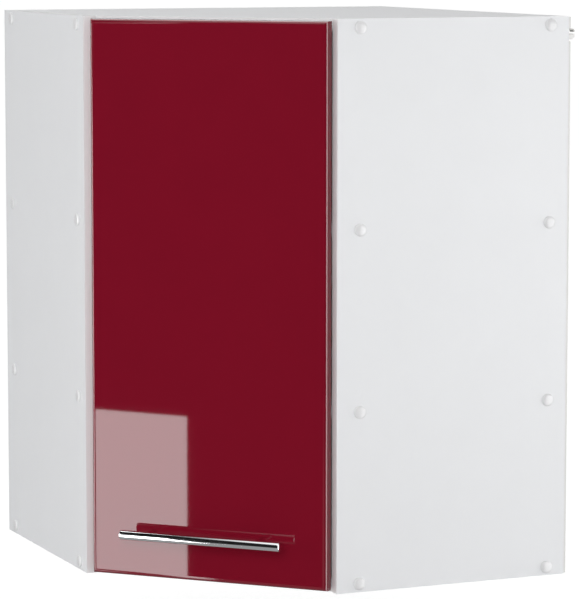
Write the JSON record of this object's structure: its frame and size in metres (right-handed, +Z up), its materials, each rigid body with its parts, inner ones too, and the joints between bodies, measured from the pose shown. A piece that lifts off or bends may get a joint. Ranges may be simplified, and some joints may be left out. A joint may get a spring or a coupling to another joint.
{
  "type": "corner wall cabinet",
  "caption": "Corner wall cabinet with a diagonal red gloss door on four-bar corner hinges, shelves, screw caps, a bar handle and wall hangers.",
  "frame": {"origin": "under the middle of the whole cabinet, caps and hooks included, level with the underside of the bottom panel", "axes": "+Z up; +X along the wall behind the left back panel, from the left side panel to the room corner; +Y along the wall behind the right back panel, from the right side panel to the room corner; the door faces -X and -Y alike"},
  "size_m": [0.589, 0.589, 0.72],
  "materials": {
    "case_board": "white melamine board, fine satin",
    "back_sheet": "white lacquered hardboard, matt",
    "door_front": "deep red high-gloss foil over fibreboard",
    "cap_plastic": "white moulded plastic",
    "hanger_plastic": "white moulded plastic",
    "hook_steel": "dark zinc-coated steel",
    "screw_zinc": "zinc-coated steel",
    "hinge_nickel": "nickel-plated steel",
    "handle_chrome": "polished chrome"
  },
  "bodies": {
    "carcass": {"side_left": "case_board", "side_right": "case_board", "panel_bottom": "case_board", "panel_top": "case_board", "shelf_lower": "case_board", "shelf_upper": "case_board", "back_left": "back_sheet", "back_right": "back_sheet", "screw_left_bottom_front": "screw_zinc", "screw_left_bottom_rear": "screw_zinc", "screw_left_lower_shelf_front": "screw_zinc", "screw_left_lower_shelf_rear": "screw_zinc", "screw_left_upper_shelf_front": "screw_zinc", "screw_left_upper_shelf_rear": "screw_zinc", "screw_left_top_front": "screw_zinc", "screw_left_top_rear": "screw_zinc", "screw_right_bottom_front": "screw_zinc", "screw_right_bottom_rear": "screw_zinc", "screw_right_lower_shelf_front": "screw_zinc", "screw_right_lower_shelf_rear": "screw_zinc", "screw_right_upper_shelf_front": "screw_zinc", "screw_right_upper_shelf_rear": "screw_zinc", "screw_right_top_front": "screw_zinc", "screw_right_top_rear": "screw_zinc", "cap_left_bottom_front": "cap_plastic", "cap_left_bottom_rear": "cap_plastic", "cap_left_lower_shelf_front": "cap_plastic", "cap_left_lower_shelf_rear": "cap_plastic", "cap_left_upper_shelf_front": "cap_plastic", "cap_left_upper_shelf_rear": "cap_plastic", "cap_left_top_front": "cap_plastic", "cap_left_top_rear": "cap_plastic", "cap_right_bottom_front": "cap_plastic", "cap_right_bottom_rear": "cap_plastic", "cap_right_lower_shelf_front": "cap_plastic", "cap_right_lower_shelf_rear": "cap_plastic", "cap_right_upper_shelf_front": "cap_plastic", "cap_right_upper_shelf_rear": "cap_plastic", "cap_right_top_front": "cap_plastic", "cap_right_top_rear": "cap_plastic", "hanger_housing_left": "hanger_plastic", "hanger_housing_right": "hanger_plastic", "hanger_hook_left": "hook_steel", "hanger_hook_right": "hook_steel", "hinge_arm_lower": "hinge_nickel", "hinge_arm_upper": "hinge_nickel", "hinge_plate_lower": "hinge_nickel", "hinge_plate_upper": "hinge_nickel"},
    "inner_links": {"hinge_inner_link_lower": "hinge_nickel", "hinge_inner_link_upper": "hinge_nickel"},
    "door": {"door": "door_front", "handle_bar": "handle_chrome", "handle_post_left": "handle_chrome", "handle_post_right": "handle_chrome", "handle_screw_left": "screw_zinc", "handle_screw_right": "screw_zinc", "hinge_cup_lower": "hinge_nickel", "hinge_cup_upper": "hinge_nickel"},
    "outer_links": {"hinge_outer_link_lower": "hinge_nickel", "hinge_outer_link_upper": "hinge_nickel"}
  },
  "joints": [
    {"name": "inner_link_turn", "type": "hinge", "parent": "carcass", "child": "inner_links", "pos_m": [-0.25412, -0.06663, 0.36], "axis": [0, 0, -1], "range_deg": [-19, 0]},
    {"name": "door_open", "type": "hinge", "parent": "inner_links", "child": "door", "pos_m": [-0.27363, -0.05892, 0.36], "axis": [0, 0, -1], "range_deg": [0, 114]},
    {"name": "outer_link_turn", "type": "hinge", "parent": "door", "child": "outer_links", "pos_m": [-0.26895, -0.05812, 0.36], "axis": [0, 0, -1], "range_deg": [-126.35, 0]}
  ],
  "couplings": [
    {"joint": "inner_link_turn", "follows": "door_open", "ratio": -0.16667},
    {"joint": "outer_link_turn", "follows": "door_open", "ratio": -1.1083}
  ]
}
